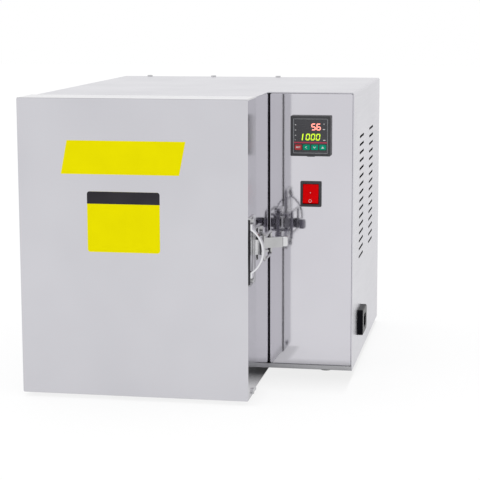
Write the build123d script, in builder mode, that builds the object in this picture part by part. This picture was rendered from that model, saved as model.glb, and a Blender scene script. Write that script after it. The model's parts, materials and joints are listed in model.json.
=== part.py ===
"""Front-loading jewellery kiln: hot chamber on the left, set-back control bay on the right.

Millimetres.  +X is right, +Y is towards the back, +Z is up.  The origin is the middle of
the overall footprint, at the level of the surface that the rubber feet stand on.
"""

from math import cos, radians, sin
import os

from build123d import *

# ---------------------------------------------------------------- driving dimensions
# cabinet
body_width = 365.0
body_height = 337.0
hot_width = 263.0
hot_depth = 425.0
panel_setback = 95.0
sheet = 1.2
bend_radius = 2.5
flange_width = 14.0
foot_height = 8.0
foot_radius = 9.0
foot_inset = 36.0

# door
door_thickness = 53.2
seam_gap = 3.5
door_overhang = 1.0
door_rise = 0.8
door_drop = 3.0
plate_thickness = 0.3

# chamber
chamber_width = 150.0
chamber_height = 170.0
chamber_depth = 290.0
board_air = 5.3
roof_air = 9.6
floor_board_thickness = 80.0
back_board_thickness = 60.0
mouth_margin = 12.0
plug_reach = 12.0
plug_clearance = 2.5
shelf_thickness = 8.0
shelf_margin = 5.0
shelf_setback = 4.0

# heating elements
coil_radius = 4.0
groove_clearance = 0.5
coil_runs = 6
coil_pitch = 24.0
coil_end_margin = 22.0
lead_radius = 2.0
lead_clearance = 0.4

# latch
latch_plate_thickness = 2.0
latch_plate_height = 78.0
latch_plate_width = 37.5
latch_plate_front = 2.0
pivot_standoff = 7.6
pivot_behind_seam = 14.0
lever_rest_angle = 27.0
lever_reach = 24.0
lever_height = 12.0
knob_radius = 4.6
knob_height = 12.3
knob_round = 2.6
tongue_thickness = 2.0
tongue_height = 6.0
lever_block = 9.0
strap_thickness = 3.0
bail_offset = 8.0
bail_wire = 1.5
bail_half_height = 13.5
bail_length = 47.0
keeper_half_height = 8.5
bracket_height = 39.0
ear_half_height = 10.8
ear_thickness = 2.5
bow_half_height = 24.5
bow_rise = 13.2
bow_width = 7.0
bow_thickness = 1.8

# controls
controller_size = 48.0
controller_case_size = 44.8
controller_proud = 8.0
controller_depth = 72.0
controller_below_top = 51.5
switch_below_top = 121.5
switch_width = 25.5
switch_height = 31.0
switch_bezel = 2.0
rocker_width = 19.0
rocker_radius = 12.0
rocker_tilt = 8.0
button_width = 8.2
button_height = 6.4
button_pitch = 9.8
button_travel = 0.6

# mains inlet
inlet_length = 50.0
inlet_height = 32.0
inlet_proud = 7.0
inlet_behind_panel = 83.0
inlet_above_base = 46.5
socket_length = 24.6
socket_height = 16.6
socket_depth = 21.0

# vents in the right side
slot_length = 50.0
slot_width = 3.0
slot_pitch = 10.0
slot_rows = 16
slot_first_below_top = 59.0
front_slots_behind_panel = 93.0
rear_slots_behind_panel = 213.0

# hinges
knuckle_radius = 4.5
hinge_pin_radius = 2.0
hinge_height = 60.0
leaf_thickness = 2.0
leaf_width = 30.0
hinge_from_edge = 45.0

# fasteners and fits
screw_radius = 2.0
screw_head_radius = 3.6
screw_head_height = 2.0
screw_bite = 1.2
hole_clearance = 0.15
running_clearance = 0.05
press_gap = 0.01
soft_gap = 0.3
fit_gap = 0.2

# ---------------------------------------------------------------- derived positions
hinge_reach = 2 * knuckle_radius
overall_width = hinge_reach + door_overhang + body_width + inlet_proud
overall_depth = plate_thickness + door_thickness + seam_gap + hot_depth + screw_head_height

door_left = -overall_width / 2 + hinge_reach
body_left = door_left + door_overhang
body_right = body_left + body_width
hot_right = body_left + hot_width
door_right = hot_right + door_overhang

door_front = -overall_depth / 2 + plate_thickness
door_back = door_front + door_thickness
seam_y = door_back + seam_gap
panel_front = seam_y + panel_setback
body_back = seam_y + hot_depth

body_bottom = foot_height
body_top = body_bottom + body_height
door_bottom = body_bottom - door_drop
door_top = body_top + door_rise
door_height = door_top - door_bottom
door_z = door_bottom + door_height / 2
base_top = body_bottom + sheet
latch_z = body_bottom + body_height / 2

chamber_x = (body_left + hot_right) / 2
chamber_floor = base_top + floor_board_thickness
chamber_z = chamber_floor + chamber_height / 2
chamber_front_y = seam_y + sheet
chamber_back_y = chamber_front_y + chamber_depth
board_rear_y = chamber_back_y + back_board_thickness
block_width = hot_width - 2 * sheet - 2 * board_air
side_board = (block_width - chamber_width) / 2
block_top = body_top - sheet - roof_air

flange_low = base_top + flange_width + 1.0
flange_high = body_top - flange_width - 4.0
panel_gap = 1.1
panel_left = hot_right + panel_gap
panel_right = body_right - sheet
panel_x = (panel_left + panel_right) / 2
controller_z = body_top - controller_below_top
switch_z = body_top - switch_below_top


# ---------------------------------------------------------------- shared helpers
def middle(low, high):
    """Centre between two coordinates."""
    return (low + high) / 2


def facing(direction, *points):
    """Locations at points, each with its local Z along direction."""
    return [Plane(origin=point, z_dir=direction).location for point in points]


def pan_screws(places, shank_length):
    """Add pan-head screws whose heads sit on the surface at each place."""
    with Locations(*places):
        Cylinder(screw_head_radius, screw_head_height, align=(Align.CENTER, Align.CENTER, Align.MIN))
        Cylinder(screw_radius, shank_length, align=(Align.CENTER, Align.CENTER, Align.MAX))


def screw_holes(places, depth):
    """Cut clearance holes for the pan-head screws."""
    with Locations(*places):
        Cylinder(
            screw_radius + hole_clearance,
            2 * depth,
            mode=Mode.SUBTRACT,
        )


def add_slab(x_low, x_high, y_low, y_high, z_low, z_high):
    """Add a straight piece of sheet or board between the given limits."""
    with Locations((middle(x_low, x_high), middle(y_low, y_high), middle(z_low, z_high))):
        Box(x_high - x_low, y_high - y_low, z_high - z_low)


def save(part, name):
    """Label one finished piece and write it to its own file."""
    part.label = name
    export_step(part, f"parts/{name}.step")


os.makedirs("parts", exist_ok=True)

# ---------------------------------------------------------------- screw places
X_OUT = (1, 0, 0)
X_IN = (-1, 0, 0)
Y_BACK = (0, 1, 0)
Z_UP = (0, 0, 1)

top_screw_pitch = 92.0
top_screw_y = body_back - 8.0
top_places = facing(
    Z_UP,
    *[(chamber_x + step * top_screw_pitch, top_screw_y, body_top) for step in (-1, 0, 1)],
)

back_screw_inset = 8.0
back_screw_rise = 30.0
back_places = facing(
    Y_BACK,
    *[
        (x, body_back, z)
        for x in (body_left + back_screw_inset, hot_right - back_screw_inset, body_right - back_screw_inset)
        for z in (body_bottom + back_screw_rise, body_top - back_screw_rise)
    ],
)
cabinet_places = top_places + back_places

keeper_screw_rise = 33.0
keeper_screw_inset = 14.0
keeper_screw_y = door_front + latch_plate_front + keeper_screw_inset
keeper_places = facing(
    X_OUT,
    *[
        (door_right + latch_plate_thickness, keeper_screw_y, door_z + side * keeper_screw_rise)
        for side in (-1, 1)
    ],
)

pivot_x = hot_right + pivot_standoff
pivot_y = seam_y + pivot_behind_seam
bracket_front = seam_y + 3.0
bracket_depth = 30.0
bracket_screw_offset = 14.0
bracket_screw_y = pivot_y + bracket_screw_offset
bracket_screw_rise = 13.5
bracket_places = facing(
    X_OUT,
    *[
        (hot_right + latch_plate_thickness, bracket_screw_y, latch_z + side * bracket_screw_rise)
        for side in (-1, 1)
    ],
)

hinge_x = door_left - knuckle_radius
hinge_y = door_back + seam_gap / 2
leaf_screw_rise = 20.0
leaf_screw_set = 14.0
hinge_centres = (door_bottom + hinge_from_edge + hinge_height / 2, door_top - hinge_from_edge - hinge_height / 2)


def door_leaf_places(z):
    """Screw places on a door leaf centred at height z."""
    x = door_left - leaf_thickness
    y = hinge_y - leaf_screw_set - knuckle_radius
    return facing(X_IN, *[(x, y, z + side * leaf_screw_rise) for side in (-1, 1)])


def cabinet_leaf_places(z):
    """Screw places on a cabinet leaf centred at height z."""
    x = body_left - leaf_thickness
    y = hinge_y + leaf_screw_set + knuckle_radius
    return facing(X_IN, *[(x, y, z + side * leaf_screw_rise) for side in (-1, 1)])


tray_screw_y = door_front + door_thickness / 2
tray_screw_rise = 6.0
tray_screw_z = door_bottom + tray_screw_rise
tray_left_places = facing(X_IN, (door_left, tray_screw_y, tray_screw_z))
tray_right_places = facing(X_OUT, (door_right, tray_screw_y, tray_screw_z))

liner_screw_inset = 11.0
liner_places = facing(
    Y_BACK,
    *[
        (x, door_back, z)
        for x in (door_left + liner_screw_inset, door_right - liner_screw_inset)
        for z in (door_bottom + 3 * liner_screw_inset, door_top - liner_screw_inset)
    ],
)

# ---------------------------------------------------------------- cabinet sheet metal
# One folded wrapper makes the left side, the top and the right side.
shell_lip = 1.5
wrapper_bottom = body_bottom
wrapper_mid_z = middle(wrapper_bottom - body_height, body_top)
inlet_y = panel_front + inlet_behind_panel
inlet_z = body_bottom + inlet_above_base
inlet_cut_length = 28.2
inlet_cut_height = 20.2

with BuildPart() as outer_shell:
    with BuildSketch(Plane.XZ.offset(-body_back)) as wrapper_profile:
        with Locations((middle(body_left, body_right), wrapper_mid_z)):
            RectangleRounded(body_width, 2 * body_height, bend_radius)
            RectangleRounded(
                body_width - 2 * sheet,
                2 * body_height - 2 * sheet,
                bend_radius - sheet,
                mode=Mode.SUBTRACT,
            )
        with Locations((middle(body_left, body_right), wrapper_bottom - body_height)):
            Rectangle(body_width, 2 * body_height, mode=Mode.SUBTRACT)
    extrude(amount=hot_depth)
    # the control bay is set back, so its corner of the wrapper is cut away
    with BuildSketch(Plane.XY.offset(wrapper_bottom)):
        with Locations((hot_right, seam_y)):
            Rectangle(
                body_right - hot_right,
                panel_setback - shell_lip,
                align=(Align.MIN, Align.MIN),
            )
    extrude(amount=body_height, mode=Mode.SUBTRACT)
    # two columns of cooling slots
    slot_mid_z = body_top - slot_first_below_top - (slot_rows - 1) * slot_pitch / 2
    with BuildSketch(Plane.YZ.offset(body_right)):
        for behind in (front_slots_behind_panel, rear_slots_behind_panel):
            with Locations((panel_front + behind, slot_mid_z)):
                with GridLocations(0, slot_pitch, 1, slot_rows):
                    SlotOverall(slot_length, slot_width)
        with Locations((inlet_y, inlet_z)):
            Rectangle(inlet_cut_length, inlet_cut_height)
    extrude(amount=-2 * sheet, mode=Mode.SUBTRACT)
    # rear edges turned in behind the back sheet
    for flange_x in (body_left + sheet, body_right - sheet - flange_width):
        add_slab(
            flange_x,
            flange_x + flange_width,
            body_back - 2 * sheet,
            body_back - sheet,
            flange_low,
            flange_high,
        )
    screw_holes(cabinet_places, 3 * sheet)
    for height in hinge_centres:
        screw_holes(cabinet_leaf_places(height), sheet + leaf_thickness)
save(outer_shell.part, "outer_shell")

# The wall between the hot section and the control bay shows beside the control panel.
with BuildPart() as divider_wall:
    add_slab(hot_right - sheet, hot_right, seam_y, body_back - sheet, base_top, body_top - sheet)
    add_slab(
        hot_right - flange_width,
        hot_right,
        body_back - 2 * sheet,
        body_back - sheet,
        flange_low,
        flange_high,
    )
    screw_holes(bracket_places, latch_plate_thickness + sheet)
    screw_holes(back_places, 3 * sheet)
save(divider_wall.part, "divider_wall")

# L-shaped floor pan with a turned-up lip under the control panel and along both sides.
front_lip = 5.4
with BuildPart() as base_pan:
    with BuildSketch(Plane.XY.offset(body_bottom)) as base_plan:
        with BuildLine():
            Polyline(
                (body_left + sheet, seam_y),
                (hot_right, seam_y),
                (hot_right, panel_front),
                (body_right - sheet, panel_front),
                (body_right - sheet, body_back - sheet),
                (body_left + sheet, body_back - sheet),
                close=True,
            )
        make_face()
    extrude(amount=sheet)
    add_slab(hot_right, body_right - sheet, panel_front, panel_front + sheet, body_bottom, body_bottom + front_lip)
    for edge_low in (body_left + sheet, body_right - 2 * sheet):
        front_edge = seam_y + sheet if edge_low < chamber_x else panel_front + flange_width + 1.0
        add_slab(edge_low, edge_low + sheet, front_edge, body_back - sheet, body_bottom, body_bottom + flange_width)
    with Locations(
        *[
            (x, y, body_bottom)
            for x in (body_left + foot_inset, body_right - foot_inset)
            for y in (panel_front + foot_inset, body_back - foot_inset)
        ]
    ):
        Cylinder(screw_radius + hole_clearance, 4 * sheet, mode=Mode.SUBTRACT)
save(base_pan.part, "base_pan")

# Back sheet, with its top edge turned forward under the wrapper.
with BuildPart() as back_panel:
    add_slab(
        body_left + sheet,
        body_right - sheet,
        body_back - sheet,
        body_back,
        body_bottom,
        body_top - sheet,
    )
    fillet(back_panel.edges().filter_by(Axis.Y).group_by(Axis.Z)[-1], bend_radius)
    add_slab(
        body_left + bend_radius + sheet,
        hot_right - sheet,
        body_back - flange_width,
        body_back - sheet,
        body_top - 2 * sheet,
        body_top - sheet,
    )
    screw_holes(cabinet_places, 3 * sheet)
save(back_panel.part, "back_panel")

# Face frame round the chamber mouth.
mouth_width = chamber_width + 2 * mouth_margin
mouth_height = chamber_height + 2 * mouth_margin
with BuildPart() as mouth_frame:
    with BuildSketch(Plane.XZ.offset(-chamber_front_y)) as mouth_sketch:
        with Locations((chamber_x, middle(base_top, body_top - sheet))):
            Rectangle(hot_width - 2 * sheet, body_top - sheet - base_top)
        fillet(mouth_sketch.vertices().sort_by(Axis.Y)[-2:].sort_by(Axis.X)[0], bend_radius)
        with Locations((chamber_x, chamber_z)):
            RectangleRounded(mouth_width, mouth_height, 3.0, mode=Mode.SUBTRACT)
    extrude(amount=sheet)
save(mouth_frame.part, "mouth_frame")

# Control panel: a shallow pan with soft bent edges.
panel_bottom = body_bottom + front_lip
panel_top = body_top - sheet
case_hole = controller_case_size + 0.4
switch_hole_width = 22.4
switch_hole_height = 27.4
with BuildPart() as control_panel:
    with BuildSketch(Plane.XZ.offset(-panel_front)):
        with Locations((panel_x, middle(panel_bottom, panel_top))):
            RectangleRounded(panel_right - panel_left, panel_top - panel_bottom, bend_radius)
    extrude(amount=-flange_width)
    fillet(control_panel.faces().sort_by(Axis.Y)[0].edges(), 1.0)
    offset(amount=-sheet, openings=control_panel.faces().sort_by(Axis.Y)[-1])
    with BuildSketch(Plane.XZ.offset(-panel_front)):
        with Locations((panel_x, controller_z)):
            Rectangle(case_hole, case_hole)
        with Locations((panel_x, switch_z)):
            Rectangle(switch_hole_width, switch_hole_height)
    extrude(amount=-2 * sheet, mode=Mode.SUBTRACT)
save(control_panel.part, "control_panel")

# Four moulded feet, each on a screw from inside the floor pan.
foot_spots = [
    (x, y)
    for x in (body_left + foot_inset, body_right - foot_inset)
    for y in (panel_front + foot_inset, body_back - foot_inset)
]
foot_recess = 3.0
with BuildPart() as rubber_feet:
    with BuildSketch(Plane.XY):
        with Locations(*foot_spots):
            Circle(foot_radius - 1.5)
    extrude(amount=foot_height, taper=-10)
    with BuildSketch(Plane.XY):
        with Locations(*foot_spots):
            Circle(screw_head_radius + 0.4)
    extrude(amount=foot_recess, mode=Mode.SUBTRACT)
    with BuildSketch(Plane.XY):
        with Locations(*foot_spots):
            Circle(screw_radius + hole_clearance)
    extrude(amount=foot_height, mode=Mode.SUBTRACT)
save(rubber_feet.part, "rubber_feet")

with BuildPart() as foot_screws:
    with Locations(*facing((0, 0, -1), *[(x, y, foot_recess) for x, y in foot_spots])):
        Cylinder(screw_head_radius, screw_head_height, align=(Align.CENTER, Align.CENTER, Align.MIN))
        Cylinder(
            screw_radius,
            foot_height - foot_recess + sheet,
            align=(Align.CENTER, Align.CENTER, Align.MAX),
        )
save(foot_screws.part, "foot_screws")

# ---------------------------------------------------------------- chamber insulation
board_left = chamber_x - block_width / 2
board_right = chamber_x + block_width / 2
chamber_left = chamber_x - chamber_width / 2
chamber_right = chamber_x + chamber_width / 2
chamber_roof = chamber_floor + chamber_height

with BuildPart() as floor_board:
    add_slab(board_left, board_right, chamber_front_y, chamber_back_y, base_top, chamber_floor)
save(floor_board.part, "floor_board")

with BuildPart() as roof_board:
    add_slab(board_left, board_right, chamber_front_y, chamber_back_y, chamber_roof, block_top)
save(roof_board.part, "roof_board")

# Elements lie in a serpentine groove in each side board.
groove_width = 2 * (coil_radius + groove_clearance)
coil_front_y = chamber_front_y + coil_end_margin
coil_top_z = chamber_z + (coil_runs - 1) * coil_pitch / 2
coil_back_y = chamber_back_y - coil_end_margin


def coil_line(plane):
    """Serpentine centre line in a plane parallel to YZ, open at the back at both ends."""
    with BuildLine(plane) as line:
        for run in range(coil_runs):
            z = coil_top_z - run * coil_pitch
            forward = run % 2 == 0
            first = run == 0
            last = run == coil_runs - 1
            rear = chamber_back_y if first or last else coil_back_y - coil_pitch / 2
            front = coil_front_y + coil_pitch / 2
            start, end = (rear, front) if forward else (front, rear)
            Line((start, z), (end, z))
            if not last:
                bulge = -coil_pitch / 2 if forward else coil_pitch / 2
                ThreePointArc(
                    (end, z),
                    (end + bulge, z - coil_pitch / 2),
                    (end, z - coil_pitch),
                )
    return line


def side_insulation(face_x, outward):
    """Fibre board with the element groove cut into its chamber face."""
    with BuildPart() as board:
        x_low = face_x if outward > 0 else face_x - side_board
        add_slab(x_low, x_low + side_board, chamber_front_y, chamber_back_y, chamber_floor, chamber_roof)
        with BuildSketch(Plane.YZ.offset(face_x)):
            trace(coil_line(Plane.XY).line, groove_width)
        extrude(amount=outward * groove_width, mode=Mode.SUBTRACT)
    return board.part


save(side_insulation(chamber_left, -1), "left_board")
save(side_insulation(chamber_right, 1), "right_board")

lead_heights = [coil_top_z, coil_top_z - (coil_runs - 1) * coil_pitch]
lead_offset = chamber_width / 2 + groove_width - coil_radius
lead_spots = [(chamber_x + side * lead_offset, z) for side in (-1, 1) for z in lead_heights]
probe_radius = 3.0
probe_rise = 50.0
probe_z = chamber_z + probe_rise

with BuildPart() as back_board:
    add_slab(board_left, board_right, chamber_back_y, board_rear_y, base_top, block_top)
    with BuildSketch(Plane.XZ.offset(-chamber_back_y)):
        with Locations(*lead_spots):
            Circle(lead_radius + lead_clearance)
        with Locations((chamber_x, probe_z)):
            Circle(probe_radius + fit_gap)
    extrude(amount=-back_board_thickness, mode=Mode.SUBTRACT)
save(back_board.part, "back_board")

# Coiled wire is drawn as the tube that its turns fill; the leads are the straight wire.
terminal_depth = 24.0
terminal_bore_depth = 12.0
lead_tip_y = body_back - sheet - terminal_depth + terminal_bore_depth - 1.0


def heating_element(face_x, outward):
    """Serpentine element with two leads that run back to the terminals."""
    coil_x = face_x + outward * (groove_width - coil_radius)
    with BuildPart() as element:
        path = coil_line(Plane.YZ.offset(coil_x)).line
        with BuildSketch(Plane(origin=path @ 0, x_dir=(1, 0, 0), z_dir=path % 0)):
            Circle(coil_radius)
        sweep(path=path)
        for z in lead_heights:
            with BuildSketch(Plane.XZ.offset(-chamber_back_y)):
                with Locations((coil_x, z)):
                    Circle(lead_radius)
            extrude(amount=-(lead_tip_y - chamber_back_y))
    return element.part


save(heating_element(chamber_left, -1), "left_element")
save(heating_element(chamber_right, 1), "right_element")

terminal_width = 22.0
with BuildPart() as element_terminals:
    with BuildSketch(Plane.XZ.offset(-(body_back - sheet))):
        with Locations(*lead_spots):
            RectangleRounded(terminal_width, terminal_width, 3.0)
    extrude(amount=terminal_depth)
    with BuildSketch(Plane.XZ.offset(-(body_back - sheet - terminal_depth))):
        with Locations(*lead_spots):
            Circle(lead_radius + fit_gap)
    extrude(amount=-terminal_bore_depth, mode=Mode.SUBTRACT)
save(element_terminals.part, "element_terminals")

shelf_front_y = chamber_front_y + plug_reach + shelf_setback
with BuildPart() as hearth_plate:
    with BuildSketch(Plane.XY.offset(chamber_floor)):
        with Locations((chamber_x, middle(shelf_front_y, chamber_back_y - shelf_margin))):
            RectangleRounded(
                chamber_width - 2 * shelf_margin,
                chamber_back_y - shelf_margin - shelf_front_y,
                4.0,
            )
    extrude(amount=shelf_thickness)
    chamfer(hearth_plate.faces().sort_by(Axis.Z)[-1].edges(), 1.0)
save(hearth_plate.part, "hearth_plate")

probe_reach = 35.0
probe_head_radius = 10.0
probe_head_length = 20.0
with BuildPart() as thermocouple:
    with BuildSketch(Plane.XZ.offset(-(chamber_back_y - probe_reach))):
        with Locations((chamber_x, probe_z)):
            Circle(probe_radius)
    extrude(amount=-(probe_reach + back_board_thickness))
    fillet(thermocouple.faces().sort_by(Axis.Y)[0].edges(), 1.2)
    with BuildSketch(Plane.XZ.offset(-board_rear_y)):
        with Locations((chamber_x, probe_z)):
            Circle(probe_head_radius)
    extrude(amount=-probe_head_length)
save(thermocouple.part, "thermocouple")

# ---------------------------------------------------------------- door
door_width = door_right - door_left
door_x = middle(door_left, door_right)
return_width = 16.0
tray_lip = 12.0

# Pan with folded sides and a return flange at the back, open underneath for the tray.
with BuildPart() as door_shell:
    with BuildSketch(Plane.XZ.offset(-door_front)):
        with Locations((door_x, door_z)):
            RectangleRounded(door_width, door_height, 1.5)
    extrude(amount=-door_thickness)
    fillet(door_shell.faces().sort_by(Axis.Y)[0].edges(), 1.2)
    with BuildSketch(Plane.XZ.offset(-(door_front + sheet))):
        with Locations((door_x, door_z)):
            Rectangle(door_width - 2 * sheet, door_height - 2 * sheet)
    extrude(amount=-(door_thickness - 2 * sheet), mode=Mode.SUBTRACT)
    with BuildSketch(Plane.XZ.offset(-(door_back - sheet))):
        with Locations((door_x, door_z)):
            Rectangle(door_width - 2 * return_width, door_height - 2 * return_width)
    extrude(amount=-sheet, mode=Mode.SUBTRACT)
    with BuildSketch(Plane.XY.offset(door_bottom)):
        with Locations((door_x, middle(door_front, door_back))):
            Rectangle(door_width - 2 * sheet, door_thickness - 2 * sheet)
    extrude(amount=sheet, mode=Mode.SUBTRACT)
    screw_holes(tray_left_places + tray_right_places, sheet)
    screw_holes(keeper_places, sheet + latch_plate_thickness)
    screw_holes(liner_places, 2 * sheet)
    for height in hinge_centres:
        screw_holes(door_leaf_places(height), sheet + leaf_thickness)
save(door_shell.part, "door_shell")

# Tray that closes the underside, held by one screw in each side.
with BuildPart() as door_tray:
    add_slab(
        door_left + sheet,
        door_right - sheet,
        door_front + sheet,
        door_back - sheet,
        door_bottom,
        door_bottom + sheet,
    )
    for lip_low in (door_left + sheet, door_right - 2 * sheet):
        add_slab(
            lip_low,
            lip_low + sheet,
            door_front + sheet,
            door_back - 2 * sheet,
            door_bottom,
            door_bottom + tray_lip,
        )
    screw_holes(tray_left_places + tray_right_places, 2 * sheet)
save(door_tray.part, "door_tray")

# Two thin printed plates on the door front: a slanted one above an upright one.
name_plate_width = 136.5
name_plate_height = 38.0
name_plate_slant = 7.5
name_plate_rise = 104.0
notice_width = 84.0
notice_height = 69.0
notice_rise = 31.1
plate_offset = 9.8
name_plate_z = door_z + name_plate_rise
notice_z = door_z + notice_rise
plate_x = door_x - plate_offset
with BuildPart() as front_plates:
    with BuildSketch(Plane.XZ.offset(-door_front)):
        with Locations((plate_x, name_plate_z)):
            Polygon(
                (-name_plate_width / 2 - name_plate_slant / 2, -name_plate_height / 2),
                (name_plate_width / 2 - name_plate_slant / 2, -name_plate_height / 2),
                (name_plate_width / 2 + name_plate_slant / 2, name_plate_height / 2),
                (-name_plate_width / 2 + name_plate_slant / 2, name_plate_height / 2),
            )
        with Locations((plate_x, notice_z)):
            RectangleRounded(notice_width, notice_height, 3.0)
    extrude(amount=plate_thickness)
save(front_plates.part, "front_plates")

plug_width = chamber_width - 2 * plug_clearance
plug_height = chamber_height - 2 * plug_clearance
liner_y = door_back - 2 * sheet
liner_play = 1.0
with BuildPart() as door_liner:
    with BuildSketch(Plane.XZ.offset(-(door_back - sheet))):
        with Locations((door_x, middle(door_bottom + tray_lip, door_top - sheet))):
            Rectangle(door_width - 2 * sheet - liner_play, door_top - sheet - door_bottom - tray_lip)
        with Locations((chamber_x, chamber_z)):
            Rectangle(plug_width + liner_play, plug_height + liner_play, mode=Mode.SUBTRACT)
    extrude(amount=sheet)
    screw_holes(liner_places, 3 * sheet)
save(door_liner.part, "door_liner")

insulation_gap = 3.0
with BuildPart() as door_insulation:
    with BuildSketch(Plane.XZ.offset(-(door_front + sheet))):
        with Locations((door_x, middle(door_bottom + sheet, door_top - sheet - insulation_gap))):
            Rectangle(
                door_width - 2 * sheet - 2 * insulation_gap,
                door_height - insulation_gap - 2 * sheet,
            )
    extrude(amount=-(liner_y - door_front - sheet))
    screw_holes(liner_places, 6 * sheet)
save(door_insulation.part, "door_insulation")

# The plug narrows towards the chamber so that its far edge swings clear of the mouth.
plug_taper = 3.0
plug_length = seam_y + plug_reach - liner_y
with BuildPart() as door_plug:
    with BuildSketch(Plane.XZ.offset(-liner_y)):
        with Locations((chamber_x, chamber_z)):
            Rectangle(plug_width, plug_height)
    extrude(amount=-plug_length, taper=plug_taper)
    chamfer(door_plug.faces().sort_by(Axis.Y)[-1].edges(), 1.5)
save(door_plug.part, "door_plug")

# Rope seal glued round the back of the door, flattened where it is glued.
rope_radius = 1.7
rope_flat = 0.2
rope_corner = 4.0
rope_inset = 1.9
rope_hinge_inset = 4.2
rope_left = door_left + rope_hinge_inset
rope_right = door_right - rope_inset
rope_low = door_bottom + rope_inset
rope_high = door_top - rope_inset
rope_y = door_back + rope_radius - rope_flat
with BuildPart() as rope_seal:
    with BuildLine(Plane.XZ.offset(-rope_y)) as rope_line:
        FilletPolyline(
            (rope_right, rope_low),
            (rope_right, rope_high),
            (rope_left, rope_high),
            (rope_left, rope_low),
            radius=rope_corner,
            close=True,
        )
    with BuildSketch(Plane(origin=rope_line.line @ 0, x_dir=(0, 1, 0), z_dir=rope_line.line % 0)):
        Circle(rope_radius)
        with Locations((-rope_radius + rope_flat, 0)):
            Rectangle(
                2 * rope_radius,
                2 * rope_radius,
                align=(Align.MIN, Align.CENTER),
                mode=Mode.INTERSECT,
            )
    sweep(path=rope_line.line)
save(rope_seal.part, "rope_seal")

# ---------------------------------------------------------------- hinges
knuckle_gap = 0.3
middle_knuckle = hinge_height / 2
leaf_relief = knuckle_radius + 0.6


def hinge_leaf(z, plate_x, direction, barrel_spans, places):
    """Leaf plate with rolled knuckles; direction is +1 towards the back, -1 to the front."""
    with BuildPart() as leaf:
        near = hinge_y + direction * leaf_relief
        far = hinge_y + direction * leaf_width
        low, high = min(near, far), max(near, far)
        add_slab(plate_x, plate_x + leaf_thickness, low, high, z - hinge_height / 2, z + hinge_height / 2)
        for bottom, top in barrel_spans:
            with BuildSketch(Plane.XY.offset(z + bottom)):
                with Locations((hinge_x, hinge_y)):
                    Circle(knuckle_radius)
                low, high = min(near, hinge_y), max(near, hinge_y)
                with Locations((middle(plate_x, plate_x + leaf_thickness), middle(low, high))):
                    Rectangle(leaf_thickness, high - low)
                with Locations((hinge_x, hinge_y)):
                    Circle(hinge_pin_radius + running_clearance, mode=Mode.SUBTRACT)
            extrude(amount=top - bottom)
        screw_holes(places, 2 * leaf_thickness)
    return leaf.part


outer_spans = [
    (-hinge_height / 2, -middle_knuckle / 2 - knuckle_gap),
    (middle_knuckle / 2 + knuckle_gap, hinge_height / 2),
]
inner_spans = [(-middle_knuckle / 2, middle_knuckle / 2)]
for title, height in zip(("lower", "upper"), hinge_centres):
    save(
        hinge_leaf(height, door_left - leaf_thickness, -1, inner_spans, door_leaf_places(height)),
        f"{title}_hinge_door_leaf",
    )
    save(
        hinge_leaf(height, body_left - leaf_thickness, 1, outer_spans, cabinet_leaf_places(height)),
        f"{title}_hinge_cabinet_leaf",
    )

pin_head = 1.5
with BuildPart() as hinge_pins:
    for height in hinge_centres:
        with BuildSketch(Plane.XY.offset(height - hinge_height / 2)):
            with Locations((hinge_x, hinge_y)):
                Circle(hinge_pin_radius)
        extrude(amount=hinge_height)
        with BuildSketch(Plane.XY.offset(height + hinge_height / 2)):
            with Locations((hinge_x, hinge_y)):
                Circle(knuckle_radius - 1.0)
        extrude(amount=pin_head)
save(hinge_pins.part, "hinge_pins")

# ---------------------------------------------------------------- latch: door side
bar_y = pivot_y + bail_offset - bail_length
bar_x = pivot_x
claw_face_y = bar_y + bail_wire + 0.15
claw_tip_x = bar_x + bail_wire + 1.0
keeper_face_x = door_right + latch_plate_thickness
claw_root = 5.0
claw_lip = 1.6
claw_hollow = 1.0

with BuildPart() as latch_keeper:
    with BuildSketch(Plane.YZ.offset(door_right)):
        with Locations((door_front + latch_plate_front + latch_plate_width / 2, door_z)):
            RectangleRounded(latch_plate_width, latch_plate_height, 4.0)
    extrude(amount=latch_plate_thickness)
    chamfer(latch_keeper.faces().sort_by(Axis.X)[-1].edges(), 0.4)
    # upright claw, hollow on the side that the bail pulls against
    with BuildSketch(Plane.XY.offset(latch_z - keeper_half_height)) as claw:
        with BuildLine():
            Polyline(
                (claw_tip_x, claw_face_y),
                (claw_tip_x, claw_face_y + claw_lip),
                (keeper_face_x - 0.5, claw_face_y + claw_root),
                (keeper_face_x - 0.5, claw_face_y),
            )
            SagittaArc((keeper_face_x - 0.5, claw_face_y), (claw_tip_x, claw_face_y), claw_hollow)
        make_face()
    extrude(amount=2 * keeper_half_height)
    screw_holes(keeper_places, 2 * latch_plate_thickness)
save(latch_keeper.part, "latch_keeper")

# Bow pull: a flat strip bent to an arc, with a foot at each end.
bow_y = door_front + latch_plate_front + 2.0
bow_foot = 6.0
with BuildPart() as pull_handle:
    with BuildSketch(Plane.XZ.offset(-(bow_y + bow_width))):
        with BuildLine() as bow_line:
            foot_x = keeper_face_x + bow_thickness / 2
            Line((foot_x, latch_z - bow_half_height - bow_foot), (foot_x, latch_z - bow_half_height))
            ThreePointArc(
                (foot_x, latch_z - bow_half_height),
                (foot_x + bow_rise, latch_z),
                (foot_x, latch_z + bow_half_height),
            )
            Line((foot_x, latch_z + bow_half_height), (foot_x, latch_z + bow_half_height + bow_foot))
        trace(bow_line.line, bow_thickness)
    extrude(amount=bow_width)
save(pull_handle.part, "pull_handle")

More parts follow.
